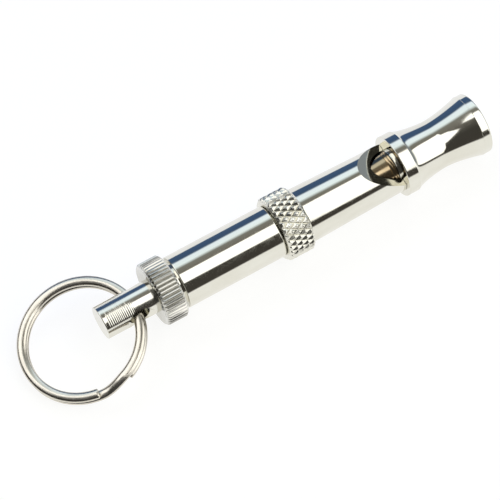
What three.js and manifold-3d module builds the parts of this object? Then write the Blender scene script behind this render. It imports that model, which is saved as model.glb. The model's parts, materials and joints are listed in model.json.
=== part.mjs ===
// Adjustable silent training whistle with its split ring, lying on a flat surface.
// Lengths are in millimetres. +X runs along the whistle towards the lip and +Z is up.
// The origin is on the surface, under the middle of the object's box.

import * as THREE from 'three'
import { mergeVertices } from 'three/addons/utils/BufferGeometryUtils.js'
import Module from 'manifold-3d'

const wasm = await Module()
wasm.setup()

// ---- Driving dimensions. Stations are distances along the axis from the stem's free end. ----

const whistleLength = 69.4

const stemRadius = 2.77
const stemEndChamfer = 0.38
const stemShoulder = 9.45
const ringHoleStation = 5.65
const ringHoleRadius = 1.5

const threadRadius = 2.0
const threadBoreRadius = 2.3
const tenonRadius = 1.2
const tenonEnd = 36.7

const nutStart = 9.2
const nutEnd = 12.9
const nutRadius = 5.34
const nutToothCount = 47
const nutToothDepth = 0.3
const nutEndChamfer = 0.34
const nutRecessRadius = 3.05
const nutRecessDepth = 0.6

const sleeveStart = 13.15
const sleeveEnd = 31.2
const sleeveRadius = 4.44
const sleeveBoreRadius = 3.85
const sleeveWall = 4.0
const sleeveChamfer = 0.36

const gripStart = 31.3
const gripEnd = 36.0
const gripRadius = 5.48
const gripBoreRadius = 4.3
const gripChamfer = 0.4
const gripFaceRadius = 5.08

const barrelTailStart = 20.45
const barrelTailRadius = 3.75
const barrelSeatRadius = 4.2
const barrelShoulder = 36.05
const barrelRearRadius = 4.67
const barrelFrontRadius = 4.25
const barrelBoreRadius = 3.1

const windowRoll = THREE.MathUtils.degToRad(4)
const windowSlope = 0.56
const windowDepthAboveAxis = 0.76

const collarStart = 53.6
const collarEnd = 55.6
const collarRadius = 5.28
const waistStation = 61.4
const waistRadius = 4.13
const rimStart = 67.9
const flareEndRadius = 5.17
const rimRadius = 5.21
const rimRounding = 0.35
const mouthBoreRadius = 2.95
const mouthCountersink = 0.35

const spigotStart = 53.25
const spigotRadius = 3.0
const plugSeatRadius = 2.55
const plugSeatEnd = 56.6
const plugRadius = 2.45
const plugFlatHeight = 1.85
const plugEndGap = 0.1

const pistonStart = 31.45
const pistonEnd = 53.1
const pistonShankRadius = 2.35
const pistonHeadRadius = 2.85
const pistonHeadStart = 43
const pistonHeadEnd = 46.4
const pistonNeckRadius = 2.4
const pistonNoseStart = 49.6
const pistonBoreRadius = 1.5
const pistonBoreEnd = 37
const sealGrooveStart = 44.2
const sealGrooveWidth = 1.2
const sealGrooveRadius = 2.0
const sealRadius = 3.0
const sealSideGap = 0.1

const ringOuterRadius = 10.4
const ringWireWidth = 1.75
const ringWireHeight = 1.0
const ringWireFlat = 0.5
const ringCoilGap = 0.08
const ringSeatOffset = 0.15
const ringUpperEndAngle = THREE.MathUtils.degToRad(-103)
const ringSplitAngle = THREE.MathUtils.degToRad(31.4)
const ringJogMargin = THREE.MathUtils.degToRad(2)

const facets = 48
const curveSteps = 6
const ringSteps = 80

// ---- Materials ----

const nickelPlate = new THREE.MeshStandardMaterial({ color: 0xdfe1de, metalness: 1, roughness: 0.12 })
const bareBrass = new THREE.MeshStandardMaterial({ color: 0xb08a4c, metalness: 1, roughness: 0.35 })
const springSteel = new THREE.MeshStandardMaterial({ color: 0xd8d8d4, metalness: 1, roughness: 0.18 })
const sealRubber = new THREE.MeshStandardMaterial({ color: 0x1c1c1c, metalness: 0, roughness: 0.8 })

// ---- Helpers ----

function named(name, geometry, material) {
  const mesh = new THREE.Mesh(geometry, material)
  mesh.name = name
  return mesh
}

// A solid of revolution about the X axis, from a closed outline of [station, radius] points.
function turned(points) {
  const outline = points.map(([station, radius]) => new THREE.Vector2(radius, station))
  outline.push(outline[0].clone())
  const geometry = new THREE.LatheGeometry(outline, facets)
  geometry.rotateZ(-Math.PI / 2)
  return geometry
}

// Points of a smooth curve between two outline points, with its two control points.
function curvePoints(start, control1, control2, end) {
  const [a, b, c, d] = [start, control1, control2, end].map(([x, y]) => new THREE.Vector2(x, y))
  const curve = new THREE.CubicBezierCurve(a, b, c, d)
  return curve.getPoints(curveSteps).map((point) => [point.x, point.y])
}

// A plate with the given outline in the plane across X, reaching from one station to another.
function extrudedAlongX(shape, start, end) {
  const settings = { depth: end - start, bevelEnabled: false, curveSegments: facets }
  const geometry = new THREE.ExtrudeGeometry(shape, settings)
  geometry.applyMatrix4(new THREE.Matrix4().makeBasis(
    new THREE.Vector3(0, 1, 0), new THREE.Vector3(0, 0, 1), new THREE.Vector3(1, 0, 0)))
  geometry.translate(start, 0, 0)
  return geometry
}

function toSolid(geometry) {
  const bare = geometry.index ? geometry.toNonIndexed() : geometry.clone()
  bare.deleteAttribute('normal')
  bare.deleteAttribute('uv')
  const merged = mergeVertices(bare, 1e-4)
  const corners = merged.index.array
  const triangles = []
  for (let i = 0; i < corners.length; i += 3) {
    const [a, b, c] = corners.slice(i, i + 3)
    if (a !== b && b !== c && c !== a) triangles.push(a, b, c)
  }
  return new wasm.Manifold(new wasm.Mesh({
    numProp: 3,
    vertProperties: new Float32Array(merged.attributes.position.array),
    triVerts: new Uint32Array(triangles)
  }))
}

function toGeometry(solid) {
  const mesh = solid.getMesh()
  const geometry = new THREE.BufferGeometry()
  geometry.setAttribute('position', new THREE.BufferAttribute(new Float32Array(mesh.vertProperties), 3))
  geometry.setIndex(new THREE.BufferAttribute(new Uint32Array(mesh.triVerts), 1))
  geometry.computeVertexNormals()
  return geometry
}

// ---- Fixed pieces of the whistle body ----

function mouthpiece() {
  const edge = 0.15
  const roundedRim = curvePoints(
    [whistleLength - rimRounding, rimRadius], [whistleLength - 0.15, rimRadius],
    [whistleLength, rimRadius - 0.15], [whistleLength, rimRadius - rimRounding])
  return turned([
    [spigotStart, plugSeatRadius],
    [spigotStart, spigotRadius],
    [collarStart, spigotRadius],
    [collarStart, collarRadius - edge],
    [collarStart + edge, collarRadius],
    [collarEnd, collarRadius],
    ...curvePoints([collarEnd + 0.05, collarRadius], [collarEnd + 0.7, 4.93],
      [waistStation - 3.1, waistRadius + 0.14], [waistStation, waistRadius]),
    ...curvePoints([waistStation, waistRadius], [waistStation + 2.2, waistRadius],
      [rimStart - 2, 4.68], [rimStart, flareEndRadius]).slice(1),
    [rimStart, rimRadius],
    ...roundedRim,
    [whistleLength, mouthBoreRadius + mouthCountersink],
    [whistleLength - mouthCountersink, mouthBoreRadius],
    [plugSeatEnd, mouthBoreRadius],
    [plugSeatEnd, plugSeatRadius]
  ])
}

// A round plug with a flat along its top, which leaves the air slit under the mouthpiece's bore.
function windwayPlug() {
  const halfFlatAngle = Math.acos(plugFlatHeight / plugRadius)
  const section = new THREE.Shape()
  section.absarc(0, 0, plugRadius, Math.PI / 2 + halfFlatAngle, Math.PI / 2 - halfFlatAngle + 2 * Math.PI)
  section.closePath()
  const geometry = extrudedAlongX(section, spigotStart + plugEndGap, plugSeatEnd - plugEndGap)
  return geometry.rotateX(windowRoll)
}

// A plane slanted across the tube: all the metal above it goes, from the barrel's outside to its end.
function windowCutter() {
  const margin = 3
  const heightAt = (station) => windowDepthAboveAxis + windowSlope * (collarStart - station)
  const clearHeight = barrelRearRadius + margin
  const start = collarStart - (clearHeight - windowDepthAboveAxis) / windowSlope
  const end = collarStart + margin
  const profile = new THREE.Shape([
    new THREE.Vector2(start, clearHeight),
    new THREE.Vector2(end, heightAt(end)),
    new THREE.Vector2(end, clearHeight)
  ])
  const width = 2 * (barrelRearRadius + margin)
  const geometry = new THREE.ExtrudeGeometry(profile, { depth: width, bevelEnabled: false })
  geometry.translate(0, 0, -width / 2)
  return geometry.rotateX(Math.PI / 2 + windowRoll)
}

function barrel() {
  const front = collarStart - 0.05
  const tube = turned([
    [barrelTailStart, barrelBoreRadius],
    [barrelTailStart, barrelTailRadius],
    [gripStart, barrelTailRadius],
    [gripStart, barrelSeatRadius],
    [barrelShoulder, barrelSeatRadius],
    [barrelShoulder, barrelRearRadius],
    [front, barrelFrontRadius],
    [front, barrelBoreRadius]
  ])
  return toGeometry(toSolid(tube).subtract(toSolid(windowCutter())))
}

function gripRing() {
  return turned([
    [gripStart, gripBoreRadius],
    [gripStart, gripFaceRadius],
    [gripStart + gripChamfer, gripRadius],
    [gripEnd - gripChamfer, gripRadius],
    [gripEnd, gripFaceRadius],
    [gripEnd, gripBoreRadius]
  ])
}

function rearSleeve() {
  return turned([
    [sleeveStart, threadBoreRadius],
    [sleeveStart, sleeveRadius - sleeveChamfer],
    [sleeveStart + sleeveChamfer, sleeveRadius],
    [sleeveEnd - sleeveChamfer, sleeveRadius],
    [sleeveEnd, sleeveRadius - sleeveChamfer],
    [sleeveEnd, sleeveBoreRadius],
    [sleeveStart + sleeveWall, sleeveBoreRadius],
    [sleeveStart + sleeveWall, threadBoreRadius]
  ])
}

// ---- Moving pieces ----

// The stem with its cross hole, the threaded shank and the tenon that turns in the piston.
function plungerRod() {
  const threadEnd = pistonStart - 0.3
  const rod = turned([
    [0, 0],
    [0, stemRadius - stemEndChamfer],
    [stemEndChamfer, stemRadius],
    [stemShoulder, stemRadius],
    [stemShoulder, threadRadius],
    [threadEnd, threadRadius],
    [threadEnd, tenonRadius],
    [tenonEnd, tenonRadius],
    [tenonEnd, 0]
  ])
  const drill = new THREE.CylinderGeometry(ringHoleRadius, ringHoleRadius, 3 * stemRadius, facets / 2)
  drill.translate(ringHoleStation, 0, 0)
  return toGeometry(toSolid(rod).subtract(toSolid(drill)))
}

function piston() {
  return turned([
    [pistonStart, pistonBoreRadius],
    [pistonStart, pistonShankRadius],
    [pistonHeadStart, pistonShankRadius],
    [pistonHeadStart, pistonHeadRadius],
    [sealGrooveStart, pistonHeadRadius],
    [sealGrooveStart, sealGrooveRadius],
    [sealGrooveStart + sealGrooveWidth, sealGrooveRadius],
    [sealGrooveStart + sealGrooveWidth, pistonHeadRadius],
    [pistonHeadEnd, pistonHeadRadius],
    [pistonHeadEnd, pistonNeckRadius],
    [pistonNoseStart, pistonNeckRadius],
    [pistonEnd, pistonHeadRadius],
    [pistonEnd, 0],
    [pistonBoreEnd, 0],
    [pistonBoreEnd, pistonBoreRadius]
  ])
}

function pistonSeal() {
  const start = sealGrooveStart + sealSideGap
  const end = sealGrooveStart + sealGrooveWidth - sealSideGap
  const inner = sealGrooveRadius + sealSideGap
  const corner = 0.25
  return turned([
    [start, inner + corner],
    [start, sealRadius - corner],
    [start + corner, sealRadius],
    [end - corner, sealRadius],
    [end, sealRadius - corner],
    [end, inner + corner],
    [end - corner, inner],
    [start + corner, inner]
  ])
}

// The nut's knurl is cut straight along it, so its section is a ring of pointed teeth.
function lockNut() {
  const outline = new THREE.Shape()
  for (let i = 0; i < nutToothCount; i += 1) {
    const crest = (2 * Math.PI * i) / nutToothCount
    const root = (2 * Math.PI * (i + 0.5)) / nutToothCount
    const rootRadius = nutRadius - nutToothDepth
    outline[i === 0 ? 'moveTo' : 'lineTo'](nutRadius * Math.cos(crest), nutRadius * Math.sin(crest))
    outline.lineTo(rootRadius * Math.cos(root), rootRadius * Math.sin(root))
  }
  outline.closePath()
  const knurled = extrudedAlongX(outline, nutStart - 1, nutEnd + 1)
  const blank = turned([
    [nutStart, nutRecessRadius],
    [nutStart, nutRadius - nutToothDepth],
    [nutStart + nutEndChamfer, nutRadius + 0.1],
    [nutEnd - nutEndChamfer, nutRadius + 0.1],
    [nutEnd, nutRadius - nutToothDepth],
    [nutEnd, threadBoreRadius],
    [nutStart + nutRecessDepth, threadBoreRadius],
    [nutStart + nutRecessDepth, nutRecessRadius]
  ])
  return toGeometry(toSolid(blank).intersect(toSolid(knurled)))
}

// ---- Split ring: one flat wire wound twice, which crosses from the upper layer to the lower one ----

const ringCentreRadius = ringOuterRadius - ringWireWidth / 2
const ringLayerRise = ringWireHeight + ringCoilGap
const ringHalfHeight = ringWireHeight + ringCoilGap / 2

// Where the wire's centre runs, from the upper layer's end (0) to the lower layer's end (1).
function ringPath(t) {
  const turn = 2 * Math.PI
  const travelled = t * (2 * turn - ringSplitAngle)
  const jogStart = turn - ringSplitAngle + ringJogMargin
  const jogEnd = turn - ringJogMargin
  const fall = THREE.MathUtils.smoothstep(travelled, jogStart, jogEnd)
  return { angle: ringUpperEndAngle - travelled, height: (0.5 - fall) * ringLayerRise }
}

// The wire's section stays upright all the way, so that both layers lie flat.
function splitRing() {
  const halfWidth = ringWireWidth / 2
  const halfHeight = ringWireHeight / 2
  const flat = ringWireFlat
  const side = 0.2
  const section = [
    [flat, halfHeight], [halfWidth, side], [halfWidth, -side], [flat, -halfHeight],
    [-flat, -halfHeight], [-halfWidth, -side], [-halfWidth, side], [-flat, halfHeight]
  ]
  const count = section.length
  const positions = []
  for (let i = 0; i <= ringSteps; i += 1) {
    const { angle, height } = ringPath(i / ringSteps)
    for (const [outward, upward] of section) {
      const radius = ringCentreRadius + outward
      positions.push(radius * Math.cos(angle), radius * Math.sin(angle), height + upward)
    }
  }
  const triangles = []
  for (let i = 0; i < ringSteps; i += 1) {
    for (let k = 0; k < count; k += 1) {
      const near = i * count + k
      const nearNext = i * count + ((k + 1) % count)
      triangles.push(near, near + count, nearNext, nearNext, near + count, nearNext + count)
    }
  }
  const last = ringSteps * count
  for (let k = 1; k < count - 1; k += 1) {
    triangles.push(0, k, k + 1, last, last + k + 1, last + k)
  }
  const geometry = new THREE.BufferGeometry()
  geometry.setAttribute('position', new THREE.Float32BufferAttribute(positions, 3))
  geometry.setIndex(triangles)
  geometry.computeVertexNormals()
  return geometry
}

// The ring hangs in the stem's hole and slopes down until its far side rests on the surface.
function ringDrop() {
  const reach = ringCentreRadius - ringSeatOffset + ringCentreRadius + ringWireFlat
  const hypotenuse = Math.hypot(reach, ringHalfHeight)
  return Math.asin(gripRadius / hypotenuse) - Math.atan2(ringHalfHeight, reach)
}

// ---- Assembly ----

const whistle = new THREE.Group()
whistle.add(named('mouthpiece', mouthpiece(), nickelPlate))
whistle.add(named('windway_plug', windwayPlug(), bareBrass))
whistle.add(named('barrel', barrel(), nickelPlate))
whistle.add(named('grip_ring', gripRing(), nickelPlate))
whistle.add(named('rear_sleeve', rearSleeve(), nickelPlate))
whistle.add(named('lock_nut', lockNut(), nickelPlate))
whistle.add(named('plunger_rod', plungerRod(), nickelPlate))
whistle.add(named('piston', piston(), bareBrass))
whistle.add(named('piston_seal', pistonSeal(), sealRubber))

const ring = named('split_ring', splitRing(), springSteel)
ring.position.x = -(ringCentreRadius - ringSeatOffset)
const ringPivot = new THREE.Group()
ringPivot.position.x = ringHoleStation
ringPivot.rotation.y = -ringDrop()
ringPivot.add(ring)
whistle.add(ringPivot)

// The whistle lies on its grip ring, and its box is centred on the origin.
whistle.updateMatrixWorld(true)
const box = new THREE.Box3().setFromObject(whistle, true)
whistle.position.set(-(box.min.x + box.max.x) / 2, 0, gripRadius)

const group = new THREE.Group()
group.add(whistle)

export default group
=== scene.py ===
"""Visual model of an adjustable silent training whistle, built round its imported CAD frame."""

import json
import math

import bmesh
import bpy
from mathutils import Matrix, Vector


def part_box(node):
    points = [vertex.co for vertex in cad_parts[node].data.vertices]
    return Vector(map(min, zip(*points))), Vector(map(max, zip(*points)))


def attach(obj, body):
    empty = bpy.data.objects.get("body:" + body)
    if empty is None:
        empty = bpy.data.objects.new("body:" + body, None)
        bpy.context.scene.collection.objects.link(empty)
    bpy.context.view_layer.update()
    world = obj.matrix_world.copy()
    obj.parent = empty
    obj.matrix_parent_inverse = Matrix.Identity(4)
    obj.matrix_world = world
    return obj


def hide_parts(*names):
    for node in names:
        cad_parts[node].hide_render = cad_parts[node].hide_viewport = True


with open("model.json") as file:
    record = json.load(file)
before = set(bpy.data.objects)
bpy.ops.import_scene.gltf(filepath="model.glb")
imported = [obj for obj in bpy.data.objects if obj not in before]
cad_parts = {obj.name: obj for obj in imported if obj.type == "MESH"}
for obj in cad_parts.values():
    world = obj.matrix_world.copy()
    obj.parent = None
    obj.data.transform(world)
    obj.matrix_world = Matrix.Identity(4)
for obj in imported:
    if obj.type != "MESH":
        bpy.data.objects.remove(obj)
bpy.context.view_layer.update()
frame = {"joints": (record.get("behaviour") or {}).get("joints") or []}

MM = 0.001

# ---- Where the whistle lies: outlines are in millimetres from the stem's free end, along +X ----

STEM_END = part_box("plunger_rod")[0].x
AXIS_HEIGHT = (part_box("grip_ring")[0].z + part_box("grip_ring")[1].z) / 2


def half_height(node):
    low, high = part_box(node)
    return (high.z - low.z) / 2 / MM


def station(x):
    return (x - STEM_END) / MM


STEM_RADIUS = half_height("plunger_rod")
NUT_RADIUS = half_height("lock_nut")
SLEEVE_RADIUS = half_height("rear_sleeve")
GRIP_RADIUS = half_height("grip_ring")
LIP_STATION = station(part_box("mouthpiece")[1].x)
COLLAR_RADIUS = half_height("mouthpiece")
NUT_START, NUT_END = (station(corner.x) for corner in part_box("lock_nut"))
SLEEVE_START, SLEEVE_END = (station(corner.x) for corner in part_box("rear_sleeve"))
GRIP_START, GRIP_END = (station(corner.x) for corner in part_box("grip_ring"))
BARREL_TAIL, BARREL_FRONT = (station(corner.x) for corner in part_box("barrel"))
PISTON_START, PISTON_END = (station(corner.x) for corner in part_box("piston"))
SPIGOT_START = station(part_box("mouthpiece")[0].x)

# ---- Dimensions in millimetres: stations along the axis and radii from it ----

# The cross hole's middle lies a little nearer to the nut than the axis on which the ring swings.
HOLE_JOINT = next(j for j in frame["joints"] if j["name"] == "ring_swing")
HOLE_STATION = station(HOLE_JOINT["pos_m"][0])
HOLE_NUTWARD = 0.22
HOLE_RADIUS = 1.8
HOLE_CHAMFER = 0.26

# A crest value is the share of a groove's half width, from its floor, where the flat crest begins.
THREAD_PITCH = 0.7
THREAD_RADIUS = 2.0
THREAD_DEPTH = 0.36
THREAD_CREST = 0.85
STEM_SHOULDER = 9.45
STEM_ROUNDING = 0.14
MARKS_END = 5.8
TENON_RADIUS = 1.2
TENON_END = 36.7

NUT_FACE_RADIUS = 4.7
NUT_TEETH = 47
NUT_TOOTH_DEPTH = 0.3
NUT_CREST = 0.72
GRIP_FACE_RADIUS = 5.08
GRIP_GROOVES = 30
GRIP_DIAMOND_LENGTH = 1.95
GRIP_GROOVE_DEPTH = 0.28
GRIP_CREST = 0.68

COLLAR_START = 53.6
COLLAR_END = 55.6
WAIST_STATION = 61.4
WAIST_RADIUS = 4.13
WINDOW_ROLL = math.radians(4)
WINDOW_SLOPE = 0.56
WINDOW_DEPTH_ABOVE_AXIS = 0.76

BARREL_BORE = 3.1
BARREL_TAIL_RADIUS = 3.75
GRIP_SEAT_RADIUS = 4.2
BARREL_REAR_RADIUS = 4.67
BARREL_FRONT_RADIUS = 4.25

PISTON_SHANK_RADIUS = 2.35
PISTON_HEAD_RADIUS = 2.96
PISTON_NECK_RADIUS = 2.55
PISTON_HEAD_START = 43
PISTON_HEAD_END = 46.4
PISTON_NOSE_START = 49.6
SEAL_GROOVE_START = 44.2
SEAL_GROOVE_END = 45.4
SEAL_THICKNESS = 0.92

RING_OUTER_RADIUS = 10.4
RING_SEAT_RADIUS = 9.525
RING_WIRE_WIDTH = 1.68
RING_WIRE_HEIGHT = 1.025
RING_COIL_GAP = 0.03
RING_SEAT_OFFSET = 0.15
RING_UPPER_END = math.radians(-103)
RING_SPLIT = math.radians(31.4)


# ---- Mesh helpers ----

def place(point):
    """A point in millimetres from the stem's end and the axis, in the frame's metres."""
    return Vector((STEM_END + point[0] * MM, point[1] * MM, AXIS_HEIGHT + point[2] * MM))


def finished(name, bm, sharp_degrees=38):
    """Turns a bmesh into a smooth-shaded object with sharp creases."""
    bmesh.ops.recalc_face_normals(bm, faces=bm.faces)
    mesh = bpy.data.meshes.new(name)
    bm.to_mesh(mesh)
    bm.free()
    piece = bpy.data.objects.new(name, mesh)
    bpy.context.scene.collection.objects.link(piece)
    mesh.shade_smooth()
    mesh.set_sharp_from_angle(angle=math.radians(sharp_degrees))
    return piece


def arc_corner(before, corner, after, radius):
    """Points of the arc that rounds a corner of an outline."""
    steps = 4 if radius < 0.3 else 9
    corner, before, after = (Vector(p[:2]) for p in (corner, before, after))
    to_before, to_after = (before - corner).normalized(), (after - corner).normalized()
    half = to_before.angle(to_after) / 2
    reach = min(radius / math.tan(half), (before - corner).length * 0.49, (after - corner).length * 0.49)
    centre = corner + (to_before + to_after).normalized() * (reach / math.cos(half))
    start = corner + to_before * reach - centre
    end = corner + to_after * reach - centre
    sweep = start.angle_signed(end)
    return [tuple(centre + Matrix.Rotation(-sweep * k / steps, 2) @ start) for k in range(steps + 1)]


def softened(outline):
    """An outline of (station, radius) or (station, radius, rounding) points, with its corners rounded."""
    points = []
    for i, point in enumerate(outline):
        if len(point) == 3:
            points += arc_corner(outline[i - 1], point, outline[(i + 1) % len(outline)], point[2])
        else:
            points.append(point)
    return points


def bezier(a, b, c, d, steps=14):
    """Points on a cubic curve from a to d."""
    a, b, c, d = (Vector(p) for p in (a, b, c, d))
    points = []
    for k in range(steps + 1):
        t = k / steps
        s = 1 - t
        points.append(tuple(a * s**3 + b * (3 * s * s * t) + c * (3 * s * t * t) + d * t**3))
    return points


def supported(outline, margin=0.05):
    """Adds points near the ends of long straight stretches, so that smooth shading stays flat there."""
    points = []
    for here, after in zip(outline, outline[1:] + outline[:1]):
        points.append(here)
        length = math.dist(here, after)
        if length > 10 * margin:
            here, after = Vector(here), Vector(after)
            points += [tuple(here.lerp(after, margin / length)), tuple(after.lerp(here, margin / length))]
    return points


def turned_mesh(outline, columns=160, relief=None):
    """A bmesh turned about the whistle's axis from a closed outline. relief(station, angle, radius)
    may change a point's radius, for knurls and threads."""
    if not relief:
        outline = supported(outline)
    bm = bmesh.new()
    rings = []
    for along, radius in outline:
        if radius < 1e-6:
            rings.append([bm.verts.new(place((along, 0, 0)))])
            continue
        ring = []
        for k in range(columns):
            angle = 2 * math.pi * k / columns
            r = relief(along, angle, radius) if relief else radius
            ring.append(bm.verts.new(place((along, r * math.cos(angle), r * math.sin(angle)))))
        rings.append(ring)
    for ring, following in zip(rings, rings[1:] + rings[:1]):
        if len(ring) == 1 and len(following) == 1:
            continue
        for k in range(columns):
            n = (k + 1) % columns
            corners = [ring[k % len(ring)], ring[n % len(ring)], following[n % len(following)],
                       following[k % len(following)]]
            corners = list(dict.fromkeys(corners))
            if relief and len(corners) == 4:
                split_along_valley(bm, corners)
            else:
                bm.faces.new(corners)
    return bm


def join_rings(bm, rings):
    """Joins rings of vertices into a closed tube, with a face over each end."""
    for ring, following in zip(rings, rings[1:]):
        for k in range(len(ring)):
            n = (k + 1) % len(ring)
            bm.faces.new((ring[k], ring[n], following[n], following[k]))
    bm.faces.new(rings[0])
    bm.faces.new(rings[-1])


def split_along_valley(bm, corners):
    """Splits a quad along its lower diagonal, which keeps slanted grooves sharp."""
    reach = [math.hypot(v.co.y, v.co.z - AXIS_HEIGHT) for v in corners]
    a, b, c, d = corners
    if reach[0] + reach[2] < reach[1] + reach[3]:
        bm.faces.new((a, b, c))
        bm.faces.new((a, c, d))
    else:
        bm.faces.new((a, b, d))
        bm.faces.new((b, c, d))


def stretch(start, end, step):
    """Evenly spaced values from start to end, no further apart than step."""
    count = max(1, math.ceil(abs(end - start) / step))
    return [start + (end - start) * k / count for k in range(count + 1)]


def stretch_points(start, end, count):
    """Outline points on a straight line, both ends included."""
    return [tuple(Vector(start).lerp(Vector(end), k / count)) for k in range(count + 1)]


def triangle_wave(x):
    """0 at whole numbers and 1 half way between them."""
    return 2 * abs(x - math.floor(x + 0.5))


# ---- Pieces of the whistle's body ----

def make_mouthpiece():
    """Spigot, collar, waisted neck and flared lip, with the mouth's bore and the windway plug's seat."""
    spigot, seat, seat_end = 3.0, 2.55, 56.6
    bore, countersink = 2.95, 0.35
    neck_start, flare_end = (COLLAR_END + 0.2, 5.14), (67.89, 5.17)
    waist = (WAIST_STATION, WAIST_RADIUS)
    rim_start, rim = 67.9, half_height("mouthpiece") - 0.07
    outline = softened([
        (SPIGOT_START, seat, 0.04),
        (SPIGOT_START, spigot, 0.06),
        (COLLAR_START, spigot),
        (COLLAR_START, COLLAR_RADIUS, 0.14),
        (COLLAR_END, COLLAR_RADIUS, 0.08),
        *bezier(neck_start, (56.4, 4.86), (58.3, WAIST_RADIUS + 0.14), waist, steps=24),
        *bezier(waist, (63.6, WAIST_RADIUS), (65.9, 4.68), flare_end)[1:],
        (rim_start, rim, 0.02),
        (LIP_STATION, rim, 0.33),
        (LIP_STATION, bore + countersink, 0.1),
        (LIP_STATION - countersink, bore, 0.1),
        (seat_end, bore, 0.05),
        (seat_end, seat, 0.05),
    ])
    return finished("mouthpiece_shell", turned_mesh(outline, columns=192), sharp_degrees=30)


def make_windway_plug():
    """A round plug with a flat along its top, which leaves the slit for the air."""
    radius, flat_height = 2.5, 1.85
    start, end = SPIGOT_START + 0.06, 56.5
    half_flat = math.acos(flat_height / radius)
    first, last = math.pi / 2 + half_flat, math.pi / 2 - half_flat + 2 * math.pi
    steps = 64
    angles = [first + (last - first) * k / steps for k in range(steps + 1)]
    bm = bmesh.new()
    ends = []
    for along in (start, end):
        loop = [place((along, radius * math.cos(a), radius * math.sin(a))) for a in angles]
        ends.append([bm.verts.new(point) for point in loop])
    for k in range(len(angles)):
        n = (k + 1) % len(angles)
        bm.faces.new((ends[0][k], ends[0][n], ends[1][n], ends[1][k]))
    for loop in ends:
        bm.faces.new(loop)
    rims = [e for e in bm.edges if abs(e.verts[0].co.x - e.verts[1].co.x) < 1e-7]
    bmesh.ops.bevel(bm, geom=rims, offset=0.06 * MM, segments=2, affect="EDGES")
    roll = Matrix.Rotation(WINDOW_ROLL, 3, "X")
    bmesh.ops.rotate(bm, verts=bm.verts, cent=place((0, 0, 0)), matrix=roll)
    return finished("windway_core", bm)


def make_barrel():
    """The tapered tube. One slanted plane cuts the window out of its front end."""
    grip_seat_start, grip_seat_end = 31.3, 36.05
    outline = softened([
        (BARREL_TAIL, BARREL_BORE, 0.08),
        (BARREL_TAIL, BARREL_TAIL_RADIUS, 0.15),
        (grip_seat_start, BARREL_TAIL_RADIUS),
        (grip_seat_start, GRIP_SEAT_RADIUS),
        (grip_seat_end, GRIP_SEAT_RADIUS),
        (grip_seat_end, BARREL_REAR_RADIUS, 0.1),
        (BARREL_FRONT, BARREL_FRONT_RADIUS, 0.03),
        (BARREL_FRONT, BARREL_BORE, 0.03),
    ])
    bm = turned_mesh(outline, columns=256)
    roll = Matrix.Rotation(WINDOW_ROLL, 3, "X")
    centre = place((COLLAR_START, 0, 0))
    above_centre = place((COLLAR_START, 0, WINDOW_DEPTH_ABOVE_AXIS)) - centre
    tilt = Vector((WINDOW_SLOPE, 0, 1)).normalized()
    cut = bmesh.ops.bisect_plane(bm, geom=bm.verts[:] + bm.edges[:] + bm.faces[:], dist=1e-8,
                                 plane_co=centre + roll @ above_centre, plane_no=roll @ tilt,
                                 clear_outer=True)
    rim = [e for e in cut["geom_cut"] if isinstance(e, bmesh.types.BMEdge)]
    facet = bmesh.ops.triangle_fill(bm, use_beauty=True, edges=rim)
    made = {f for f in facet["geom"] if isinstance(f, bmesh.types.BMFace)}
    seams = {e for f in made for e in f.edges if len(e.link_faces) == 2 and made.issuperset(e.link_faces)}
    bmesh.ops.dissolve_edges(bm, edges=list(seams), use_verts=False)
    return finished("barrel_tube", bm, sharp_degrees=18)


def diamond_relief(along, angle, radius):
    """Two families of slanted grooves that leave diamonds with small flat crests."""
    if radius < GRIP_FACE_RADIUS - 0.1:
        return radius
    round_part = GRIP_GROOVES * angle / (2 * math.pi)
    length_part = (along - (GRIP_START + GRIP_END) / 2) / GRIP_DIAMOND_LENGTH
    height = min(triangle_wave(round_part + length_part), triangle_wave(round_part - length_part))
    knurled = GRIP_RADIUS - GRIP_GROOVE_DEPTH * (1 - min(1, height / GRIP_CREST))
    return min(radius, knurled)


def make_grip_ring():
    """The band between its two faces, with a short chamfer that the knurl runs out over."""
    chamfer, bore = 0.4, 4.3
    points_in_diamond = 16
    step = GRIP_DIAMOND_LENGTH / points_in_diamond
    middle = (GRIP_START + GRIP_END) / 2
    half = (GRIP_END - GRIP_START) / 2
    outline = [(GRIP_START, bore), (GRIP_START, GRIP_FACE_RADIUS)]
    reach = int((half - 0.02) / step)
    for k in range(-reach, reach + 1):
        share = min(1, (half - abs(k * step)) / chamfer)
        outline.append((middle + k * step, GRIP_FACE_RADIUS + (GRIP_RADIUS - GRIP_FACE_RADIUS) * share))
    outline += [(GRIP_END, GRIP_FACE_RADIUS), (GRIP_END, bore)]
    bm = turned_mesh(outline, columns=GRIP_GROOVES * points_in_diamond, relief=diamond_relief)
    return finished("grip_knurl", bm, sharp_degrees=20)


def make_rear_sleeve():
    """The plain sleeve, its end wall round the thread, and the low step that the lock nut faces."""
    bore, thread_hole = 3.85, 2.1
    wall_end = SLEEVE_START + 4.0
    step_end, step_radius = SLEEVE_START + 0.38, SLEEVE_RADIUS - 0.9
    outline = softened([
        (SLEEVE_START, thread_hole, 0.1),
        (SLEEVE_START, step_radius),
        (step_end, step_radius),
        (step_end, SLEEVE_RADIUS, 0.16),
        (SLEEVE_END, SLEEVE_RADIUS, 0.5),
        (SLEEVE_END, bore, 0.05),
        (wall_end, bore),
        (wall_end, thread_hole),
    ])
    return finished("sleeve_tube", turned_mesh(outline, columns=192))


# ---- Moving pieces ----

def nut_relief(along, angle, radius):
    """Straight grooves cut along the nut, with narrow flat crests between them."""
    if radius < NUT_FACE_RADIUS:
        return radius
    wave = triangle_wave(NUT_TEETH * angle / (2 * math.pi))
    groove = NUT_TOOTH_DEPTH * max(0, 1 - wave / NUT_CREST) ** 1.15
    return min(radius, NUT_RADIUS - groove)


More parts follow.
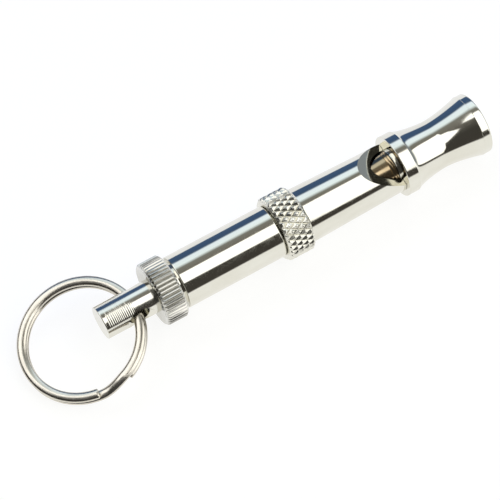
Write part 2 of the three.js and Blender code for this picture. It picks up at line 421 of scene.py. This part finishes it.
def make_lock_nut():
    """Chamfered knurl, a face dished down to the recess for the stem, and the hole for the thread."""
    chamfer, chamfer_radius, thread_hole = 0.34, 5.04, 2.15
    recess, dish_end = 2.95, NUT_START + 0.62
    recess_end = NUT_START + 0.92
    outline = [(NUT_START, NUT_FACE_RADIUS), (NUT_START, chamfer_radius - 0.02)]
    outline += stretch_points((NUT_START + 0.02, chamfer_radius), (NUT_START + chamfer, NUT_RADIUS), 5)
    outline += stretch_points((NUT_END - chamfer, NUT_RADIUS), (NUT_END - 0.02, chamfer_radius), 5)
    outline += [(NUT_END, chamfer_radius - 0.02), (NUT_END, thread_hole), (recess_end, thread_hole),
                (recess_end, recess), (dish_end, recess)]
    bm = turned_mesh(outline, columns=NUT_TEETH * 12, relief=nut_relief)
    return finished("lock_nut_knurl", bm, sharp_degrees=28)


def turning_marks(along):
    """Fine uneven grooves that the lathe tool left round the stem's free end."""
    depth, marks_start = 0.011, 0.55
    fade_in = max(0.0, min(1.0, (along - marks_start) / 0.2))
    fade_out = max(0.0, min(1.0, (MARKS_END - 0.2 - along) / 1.2))
    wave = math.sin(along * 20.3 + 0.9 * math.sin(along * 2.3)) + 0.3 * math.sin(along * 7.1 + 0.4)
    return depth * fade_in * fade_out * wave


def make_drill():
    """The cross hole's cutter, along Y: a round shank that flares at both ends to chamfer the mouths."""
    columns = 96
    overrun = STEM_RADIUS + 0.6
    mouth = math.sqrt(STEM_RADIUS**2 - HOLE_RADIUS**2) - HOLE_CHAMFER * 0.4
    flare = HOLE_RADIUS + overrun - mouth
    profile = [(-overrun, flare), (-mouth, HOLE_RADIUS), (mouth, HOLE_RADIUS), (overrun, flare)]
    bm = bmesh.new()
    rings = []
    for across, radius in profile:
        ring = []
        for k in range(columns):
            angle = 2 * math.pi * k / columns
            along = HOLE_STATION + HOLE_NUTWARD + radius * math.cos(angle)
            ring.append(bm.verts.new(place((along, across, radius * math.sin(angle)))))
        rings.append(ring)
    join_rings(bm, rings)
    return finished("drill", bm)


def make_stem():
    """The stem, rounded at its end, with the lathe's marks and the cross hole bored through it."""
    marks_floor, sharp_degrees = 0.012, 25
    outline = [(0, 0), *arc_corner((0, 0), (0, STEM_RADIUS), (1, STEM_RADIUS), STEM_ROUNDING)]
    for along in stretch(STEM_ROUNDING + 0.08, MARKS_END, 0.035):
        outline.append((along, STEM_RADIUS - marks_floor + turning_marks(along)))
    outline += softened([(6.2, STEM_RADIUS), (STEM_SHOULDER, STEM_RADIUS, 0.1), (STEM_SHOULDER, 0)])
    stem = finished("stem", turned_mesh(outline, columns=192), sharp_degrees)
    drill = make_drill()
    boolean = stem.modifiers.new("hole", "BOOLEAN")
    boolean.operation = "DIFFERENCE"
    boolean.solver = "EXACT"
    boolean.object = drill
    depsgraph = bpy.context.evaluated_depsgraph_get()
    drilled = bpy.data.meshes.new_from_object(stem.evaluated_get(depsgraph))
    stem.modifiers.clear()
    stem.data = drilled
    drilled.name = "stem"
    drilled.shade_smooth()
    drilled.set_sharp_from_angle(angle=math.radians(sharp_degrees))
    bpy.data.objects.remove(drill)
    return stem


def thread_relief(along, angle, radius):
    """A right-hand thread: the groove advances one pitch along +X in each turn."""
    if radius < THREAD_RADIUS - 0.01 or not STEM_SHOULDER + 0.1 < along < PISTON_START - 0.4:
        return radius
    wave = triangle_wave(along / THREAD_PITCH - angle / (2 * math.pi))
    return THREAD_RADIUS - THREAD_DEPTH * (1 - min(1, wave / THREAD_CREST))


def make_thread():
    """The threaded shank and the plain tenon that turns in the piston."""
    start, end = STEM_SHOULDER + 0.01, PISTON_START - 0.3
    outline = [(start, 0), (start, THREAD_RADIUS - 0.02)]
    outline += [(s, THREAD_RADIUS) for s in stretch(start + 0.1, end - 0.1, THREAD_PITCH / 8)]
    outline += [(end, THREAD_RADIUS - 0.1), (end, TENON_RADIUS), (TENON_END - 0.2, TENON_RADIUS),
                (TENON_END, TENON_RADIUS - 0.2), (TENON_END, 0)]
    bm = turned_mesh(outline, columns=72, relief=thread_relief)
    return finished("plunger_thread", bm, sharp_degrees=30)


def make_piston():
    """Bare brass piston: shank, head with the seal's groove, and a tapered nose with two fine rings."""
    bore, bore_end, groove_floor = 1.35, 37, 2.05
    head, neck = PISTON_HEAD_RADIUS, PISTON_NECK_RADIUS
    outline = softened([
        (PISTON_START, bore, 0.05),
        (PISTON_START, PISTON_SHANK_RADIUS, 0.12),
        (PISTON_HEAD_START, PISTON_SHANK_RADIUS),
        (PISTON_HEAD_START, head, 0.15),
        (SEAL_GROOVE_START, head, 0.04),
        (SEAL_GROOVE_START, groove_floor),
        (SEAL_GROOVE_END, groove_floor),
        (SEAL_GROOVE_END, head, 0.04),
        (PISTON_HEAD_END, head, 0.1),
        (PISTON_HEAD_END, neck),
        (PISTON_NOSE_START, neck),
    ])
    flare = (head - neck) / (PISTON_END - PISTON_NOSE_START)
    for ring in (PISTON_END - 0.8, PISTON_END - 0.3):
        radius = neck + flare * (ring - PISTON_NOSE_START)
        outline += [(ring - 0.09, radius - 0.01), (ring, radius - 0.07), (ring + 0.09, radius + 0.01)]
    outline += [(PISTON_END, head), (PISTON_END, 0), (bore_end, 0), (bore_end, bore)]
    return finished("piston_brass", turned_mesh(outline, columns=160))


def make_seal():
    """An O-ring in the piston's groove."""
    centre_station, centre_radius = (SEAL_GROOVE_START + SEAL_GROOVE_END) / 2, 2.56
    columns = 20
    outline = []
    for k in range(columns):
        angle = 2 * math.pi * k / columns
        outline.append((centre_station + SEAL_THICKNESS / 2 * math.cos(angle),
                        centre_radius + SEAL_THICKNESS / 2 * math.sin(angle)))
    return finished("seal_ring", turned_mesh(outline, columns=96), sharp_degrees=80)


# ---- Split ring ----

def ring_drop():
    """The angle by which the ring slopes down, so that its far end rests as low as the CAD ring's box."""
    pivot = Vector(HOLE_JOINT["pos_m"])
    outward_share = 0.58
    contact = outward_share * (RING_OUTER_RADIUS - RING_SEAT_RADIUS)
    reach = (2 * RING_SEAT_RADIUS - RING_SEAT_OFFSET + contact) * MM
    half_stack = (RING_WIRE_HEIGHT + RING_COIL_GAP / 2) * MM
    fall = pivot.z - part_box("split_ring")[0].z
    return math.asin(fall / math.hypot(reach, half_stack)) - math.atan2(half_stack, reach)


def ring_section(size, columns=20):
    """The flat wire's section, times size: an oval with slightly flattened crowns."""
    crown = 2 / 2.15
    points = []
    for k in range(columns):
        angle = 2 * math.pi * k / columns
        height = math.copysign(abs(math.sin(angle)) ** crown, math.sin(angle))
        points.append((math.cos(angle) * RING_WIRE_WIDTH / 2 * size, height * RING_WIRE_HEIGHT / 2 * size))
    return points


def make_split_ring():
    """One wire wound twice. It crosses from the upper layer to the lower one at the split."""
    centre_radius = RING_OUTER_RADIUS - RING_WIRE_WIDTH / 2
    rise = RING_WIRE_HEIGHT + RING_COIL_GAP
    sweep = 4 * math.pi - RING_SPLIT
    margin = math.radians(2)
    jog_start, jog_end = 2 * math.pi - RING_SPLIT + margin, 2 * math.pi - margin

    def path(travelled):
        t = min(1, max(0, (travelled - jog_start) / (jog_end - jog_start)))
        height = (0.5 - t * t * (3 - 2 * t)) * rise
        angle = RING_UPPER_END - travelled
        return Vector((centre_radius * math.cos(angle), centre_radius * math.sin(angle), height))

    bm = bmesh.new()
    steps = 440
    end_rounding = 0.06 / centre_radius
    stations = [(0, 0.82), (end_rounding, 0.95)]
    stations += [(sweep * k / steps, 1) for k in range(1, steps)]
    stations += [(sweep - end_rounding, 0.95), (sweep, 0.82)]
    rings = []
    for travelled, size in stations:
        here = path(travelled)
        tangent = (path(travelled + 0.01) - path(travelled - 0.01)).normalized()
        outward = Vector((here.x, here.y, 0)).normalized()
        upward = tangent.cross(outward).normalized()
        if upward.z < 0:
            upward.negate()
        rings.append([bm.verts.new(here + outward * x + upward * y) for x, y in ring_section(size)])
    join_rings(bm, rings)
    to_frame = (Matrix.Translation(Vector(HOLE_JOINT["pos_m"]))
                @ Matrix.Rotation(-ring_drop(), 4, "Y")
                @ Matrix.Translation(Vector((-(RING_SEAT_RADIUS - RING_SEAT_OFFSET) * MM, 0, 0)))
                @ Matrix.Scale(MM, 4))
    bmesh.ops.transform(bm, matrix=to_frame, verts=bm.verts)
    return finished("split_ring_wire", bm, sharp_degrees=50)


# ---- Materials ----

def node(tree, kind, **values):
    made = tree.nodes.new(kind)
    for key, value in values.items():
        setattr(made, key, value)
    return made


def coordinates(tree, scale):
    """Object coordinates in millimetres times scale, so that a texture moves with its piece."""
    source = node(tree, "ShaderNodeTexCoord")
    mapping = node(tree, "ShaderNodeMapping")
    mapping.inputs["Scale"].default_value = [value / MM for value in scale]
    tree.links.new(source.outputs["Object"], mapping.inputs["Vector"])
    return mapping.outputs["Vector"]


def noise(tree, scale, size=1.0, detail=3.0):
    texture = node(tree, "ShaderNodeTexNoise")
    texture.inputs["Scale"].default_value = size
    texture.inputs["Detail"].default_value = detail
    tree.links.new(coordinates(tree, scale), texture.inputs["Vector"])
    return texture.outputs["Fac"]


def ramp(tree, value, low, high, start=0.3, end=0.7):
    made = node(tree, "ShaderNodeValToRGB")
    made.color_ramp.elements[0].position = start
    made.color_ramp.elements[0].color = low
    made.color_ramp.elements[1].position = end
    made.color_ramp.elements[1].color = high
    tree.links.new(value, made.inputs["Fac"])
    return made.outputs["Color"]


def spread(tree, value, low, high):
    """Spreads a 0 to 1 value between two numbers."""
    made = node(tree, "ShaderNodeMapRange")
    made.inputs["From Min"].default_value = 0.3
    made.inputs["From Max"].default_value = 0.7
    made.inputs["To Min"].default_value = low
    made.inputs["To Max"].default_value = high
    tree.links.new(value, made.inputs["Value"])
    return made.outputs["Result"]


def bump(tree, height, strength, depth_mm, previous=None):
    made = node(tree, "ShaderNodeBump")
    made.inputs["Strength"].default_value = strength
    made.inputs["Distance"].default_value = depth_mm * MM
    tree.links.new(height, made.inputs["Height"])
    if previous:
        tree.links.new(previous, made.inputs["Normal"])
    return made.outputs["Normal"]


def new_material(name):
    material = bpy.data.materials.new(name)
    material.use_nodes = True
    tree = material.node_tree
    return material, tree, tree.nodes["Principled BSDF"]


def metal(name, tones, roughness, line_strength, smear=0.35):
    """Polished turned metal: a faint change of tone, uneven gloss, and fine lines round the axis."""
    material, tree, shader = new_material(name)
    patches = noise(tree, (0.16, 0.3, 0.3), detail=4.0)
    shader.inputs["Metallic"].default_value = 1.0
    tree.links.new(ramp(tree, patches, *tones), shader.inputs["Base Color"])
    gloss = noise(tree, (0.5, 1.1, 1.1), detail=5.0)
    tree.links.new(spread(tree, gloss, *roughness), shader.inputs["Roughness"])
    lines = bump(tree, noise(tree, (9.0, smear, smear), detail=6.0), line_strength, 0.004)
    ripples = noise(tree, (1.4, 1.4, 1.4), detail=2.0)
    tree.links.new(bump(tree, ripples, 0.05, 0.02, previous=lines), shader.inputs["Normal"])
    return material


# Base colours between which each metal varies, as (darker, lighter).
NICKEL_TONES = ((0.74, 0.72, 0.635, 1), (0.79, 0.775, 0.70, 1))
STEEL_TONES = ((0.64, 0.60, 0.52, 1), (0.74, 0.70, 0.62, 1))
# The nut has the same nickel plating as the grip; its darker tones are painted shade for the knurled nut's
# dimmer look.
SHADED_NUT_TONES = ((0.60, 0.59, 0.545, 1), (0.68, 0.67, 0.625, 1))
BRASS_TONES = ((0.36, 0.26, 0.14, 1), (0.60, 0.48, 0.31, 1))
RUBBER_TONES = ((0.012, 0.012, 0.012, 1), (0.03, 0.03, 0.028, 1))


def rubber(name):
    """Black moulded rubber with a fine dull grain."""
    material, tree, shader = new_material(name)
    grain = noise(tree, (8.0, 8.0, 8.0), detail=3.0)
    tree.links.new(ramp(tree, grain, *RUBBER_TONES), shader.inputs["Base Color"])
    tree.links.new(spread(tree, grain, 0.55, 0.8), shader.inputs["Roughness"])
    tree.links.new(bump(tree, grain, 0.3, 0.02), shader.inputs["Normal"])
    return material


# ---- Assembly ----

def fit(piece, body, material, slot, *nodes):
    """Gives a piece its material, the body that it rides on and the CAD nodes it replaces. The slot is not
    used.
    """
    piece.data.materials.clear()
    piece.data.materials.append(material)
    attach(piece, body)
    if nodes:
        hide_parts(*nodes)


nickel = metal("polished_nickel", NICKEL_TONES, (0.045, 0.11), 0.10)
knurled = metal("knurled_nickel", NICKEL_TONES, (0.20, 0.30), 0.06)
stem_nickel = metal("turned_nickel", NICKEL_TONES, (0.09, 0.16), 0.15)
# Same plating as the grip's knurl, with darker tones as painted shade.
shaded_nut_nickel = metal("shaded_nut_nickel", SHADED_NUT_TONES, (0.16, 0.26), 0.06)
steel = metal("spring_wire", STEEL_TONES, (0.18, 0.27), 0.03, smear=2.0)
brass = metal("bare_brass", BRASS_TONES, (0.10, 0.18), 0.30)
nitrile = rubber("nitrile")

fit(make_mouthpiece(), "whistle_body", nickel, "nickel_plate", "mouthpiece")
fit(make_windway_plug(), "whistle_body", brass, "bare_brass", "windway_plug")
fit(make_barrel(), "whistle_body", nickel, "nickel_plate", "barrel")
fit(make_grip_ring(), "whistle_body", knurled, "knurled_nickel", "grip_ring")
fit(make_rear_sleeve(), "whistle_body", nickel, "nickel_plate", "rear_sleeve")
fit(make_lock_nut(), "lock_nut", shaded_nut_nickel, "knurled_nickel", "lock_nut")
fit(make_stem(), "plunger", stem_nickel, "stem_nickel", "plunger_rod")
fit(make_thread(), "plunger", stem_nickel, "stem_nickel")
fit(make_piston(), "piston", brass, "bare_brass", "piston")
fit(make_seal(), "piston", nitrile, "seal_rubber", "piston_seal")
fit(make_split_ring(), "split_ring", steel, "spring_steel", "split_ring")


# ---- Stage: pale floor, studio surroundings and camera ----

FLOOR_SIZE = 8
FLOOR_COLOUR = (0.22, 0.22, 0.218, 1)
FLOOR_GLOW = 0.86
# The glow's tint in front of the whistle and behind it, and where along Y one passes into the other.
GLOW_FRONT = (1.0, 1.0, 0.99, 1)
GLOW_BACK = (0.985, 1.0, 1.06, 1)
GLOW_CHANGE = (-0.005, 0.02)


def fade(tree, value, start, full):
    """A smooth change from 0 where value is start to 1 where it is full."""
    made = node(tree, "ShaderNodeMapRange", interpolation_type="SMOOTHSTEP")
    made.inputs["From Min"].default_value = start
    made.inputs["From Max"].default_value = full
    tree.links.new(value, made.inputs["Value"])
    return made.outputs["Result"]


def mix(tree, share, *colours):
    """Mixes two colours, each a socket or a constant, by the share of the second."""
    made = node(tree, "ShaderNodeMix", data_type="RGBA")
    tree.links.new(share, made.inputs["Factor"])
    for socket, colour in zip((made.inputs[6], made.inputs[7]), colours):
        if isinstance(colour, tuple):
            socket.default_value = colour
        else:
            tree.links.new(colour, socket)
    return made.outputs[2]


def make_floor():
    """A pale floor that glows a little, so that it stays plain and even."""
    bpy.ops.mesh.primitive_plane_add(size=FLOOR_SIZE, location=(0, 0, 0))
    floor = bpy.context.object
    floor.name = "floor"
    material = bpy.data.materials.new("pale_floor")
    material.use_nodes = True
    tree = material.node_tree
    tree.nodes.clear()
    diffuse = node(tree, "ShaderNodeBsdfDiffuse")
    diffuse.inputs["Color"].default_value = FLOOR_COLOUR
    glow = node(tree, "ShaderNodeEmission")
    glow.inputs["Strength"].default_value = FLOOR_GLOW
    where = node(tree, "ShaderNodeNewGeometry")
    parts = node(tree, "ShaderNodeSeparateXYZ")
    tree.links.new(where.outputs["Position"], parts.inputs[0])
    behind = fade(tree, parts.outputs["Y"], *GLOW_CHANGE)
    tree.links.new(mix(tree, behind, GLOW_FRONT, GLOW_BACK), glow.inputs["Color"])
    both = node(tree, "ShaderNodeAddShader")
    output = node(tree, "ShaderNodeOutputMaterial")
    tree.links.new(diffuse.outputs[0], both.inputs[0])
    tree.links.new(glow.outputs[0], both.inputs[1])
    tree.links.new(both.outputs[0], output.inputs["Surface"])
    floor.data.materials.append(material)


# The studio's bands: (degrees from straight up, positive towards -Y, colour).
STUDIO = [
    (-180, (0.95, 0.95, 0.95)),
    (-96, (0.95, 0.95, 0.95)),
    (-91, (0.90, 1.00, 1.10)),
    (-88, (0.065, 0.12, 0.24)),
    (-66, (0.055, 0.105, 0.22)),
    (-57, (0.07, 0.12, 0.22)),
    (-50, (1.00, 1.14, 1.30)),
    (-32, (1.00, 1.14, 1.22)),
    (-21, (0.24, 0.24, 0.22)),
    (-2, (0.20, 0.19, 0.17)),
    (22, (0.09, 0.085, 0.075)),
    (40, (0.055, 0.052, 0.046)),
    (86, (0.055, 0.050, 0.045)),
    (91, (0.95, 0.95, 0.93)),
    (180, (0.95, 0.95, 0.93)),
]
# The overhead window's two edges: (component along +X of the direction, degrees as above).
WINDOW_UPPER_EDGE = [(-1.0, -58), (-0.25, -58), (-0.20, -32), (-0.105, -5), (-0.09, 6), (-0.05, 18),
                     (0.0, 14), (0.12, 4), (0.25, 1.5), (0.30, -6), (0.34, -9), (0.5, -6), (1.0, 0)]
WINDOW_LOWER_EDGE = [(-1.0, -20), (-0.4, -20), (-0.20, 12), (-0.105, 4), (-0.09, 5), (-0.055, 14),
                     (0.0, 26), (0.10, 35), (0.195, 42), (0.25, 43), (0.30, 64), (0.345, 69),
                     (0.42, 79), (1.0, 79)]
WINDOW_COLOUR = (1.70, 1.70, 1.66, 1)
# Where all colours turn grey, towards the stem's end of the room: components along +X.
GREY_END = (-0.19, -0.26)
# The studio's two end walls: (component along +X where each starts, where it is full, colour).
FRONT_WALL = (0.80, 0.88, (0.27, 0.30, 0.33, 1))
REAR_WALL = (-0.66, -0.74, (0.035, 0.034, 0.030, 1))


def math_node(tree, operation, *values):
    """A Math node fed by sockets or numbers."""
    made = node(tree, "ShaderNodeMath", operation=operation)
    for socket, value in zip(made.inputs, values):
        if isinstance(value, (int, float)):
            socket.default_value = value
        else:
            tree.links.new(value, socket)
    return made.outputs[0]


def edge_curve(tree, along, points):
    """An edge's angle, looked up from the direction's component along the whistle."""
    made = node(tree, "ShaderNodeFloatCurve")
    curve = made.mapping.curves[0]
    made.mapping.extend = "HORIZONTAL"
    while len(curve.points) < len(points):
        curve.points.new(0.5, 0.5)
    for point, (component, degrees) in zip(curve.points, points):
        point.location = ((component + 1) / 2, (degrees + 180) / 360)
        point.handle_type = "VECTOR"
    made.mapping.update()
    tree.links.new(along, made.inputs["Value"])
    return made.outputs["Value"]


def soft_step(tree, value, edge, softness=0.006):
    """0 where value is below the edge and 1 above it."""
    return fade(tree, math_node(tree, "SUBTRACT", value, edge), -softness, softness)


def studio_bands(tree, turn):
    """The long panels' colours, by the direction's turn round the whistle's axis."""
    bands = node(tree, "ShaderNodeValToRGB")
    elements = bands.color_ramp.elements
    while len(elements) < len(STUDIO):
        elements.new(0.5)
    for element, (degrees, colour) in zip(elements, STUDIO):
        element.position = (degrees + 180) / 360
        element.color = (*colour, 1)
    tree.links.new(turn, bands.inputs["Fac"])
    return bands.outputs["Color"]


def make_studio():
    """Long soft panels with dark gaps between them, a bright window overhead and two end walls."""
    world = bpy.data.worlds.new("studio")
    bpy.context.scene.world = world
    world.use_nodes = True
    tree = world.node_tree
    tree.nodes.clear()
    direction = node(tree, "ShaderNodeTexCoord")
    parts = node(tree, "ShaderNodeSeparateXYZ")
    tree.links.new(direction.outputs["Generated"], parts.inputs[0])
    towards = math_node(tree, "MULTIPLY", parts.outputs["Y"], -1)
    angle = math_node(tree, "ARCTAN2", towards, parts.outputs["Z"])
    turn = math_node(tree, "MULTIPLY_ADD", angle, 1 / (2 * math.pi), 0.5)
    along = math_node(tree, "MULTIPLY_ADD", parts.outputs["X"], 0.5, 0.5)
    above = soft_step(tree, turn, edge_curve(tree, along, WINDOW_UPPER_EDGE))
    below = soft_step(tree, edge_curve(tree, along, WINDOW_LOWER_EDGE), turn)
    window = math_node(tree, "MULTIPLY", above, below)
    colour = mix(tree, window, studio_bands(tree, turn), WINDOW_COLOUR)
    grey = node(tree, "ShaderNodeRGBToBW")
    tree.links.new(colour, grey.inputs["Color"])
    colour = mix(tree, fade(tree, parts.outputs["X"], *GREY_END), colour, grey.outputs["Val"])
    for start, full, tone in (FRONT_WALL, REAR_WALL):
        colour = mix(tree, fade(tree, parts.outputs["X"], start, full), colour, tone)
    background = node(tree, "ShaderNodeBackground")
    tree.links.new(colour, background.inputs["Color"])
    output = node(tree, "ShaderNodeOutputWorld")
    tree.links.new(background.outputs[0], output.inputs["Surface"])


# The camera looks at a point in millimetres from the stem's end, from a distance in metres. Its lens is
# given in sensor widths.
CAMERA_TARGET = (26.40, -1.04, 0)
CAMERA_TURN = math.radians(-29.70)
CAMERA_ELEVATION = math.radians(62.10)
CAMERA_ROLL = math.radians(-1.48)
CAMERA_DISTANCE = 0.4073
CAMERA_FOCAL = 5.185


def make_camera():
    """Looks down on the whistle from the side of its stem."""
    camera = bpy.data.objects.new("camera", bpy.data.cameras.new("camera"))
    bpy.context.scene.collection.objects.link(camera)
    camera.matrix_world = (Matrix.Translation(place(CAMERA_TARGET))
                           @ Matrix.Rotation(CAMERA_TURN, 4, "Z")
                           @ Matrix.Rotation(math.pi / 2 - CAMERA_ELEVATION, 4, "X")
                           @ Matrix.Rotation(CAMERA_ROLL, 4, "Z")
                           @ Matrix.Translation(Vector((0, 0, CAMERA_DISTANCE))))
    camera.data.lens = camera.data.sensor_width * CAMERA_FOCAL
    camera.data.clip_start = 0.01
    bpy.context.scene.camera = camera


make_floor()
make_studio()
make_camera()
bpy.context.scene.view_settings.view_transform = "Standard"
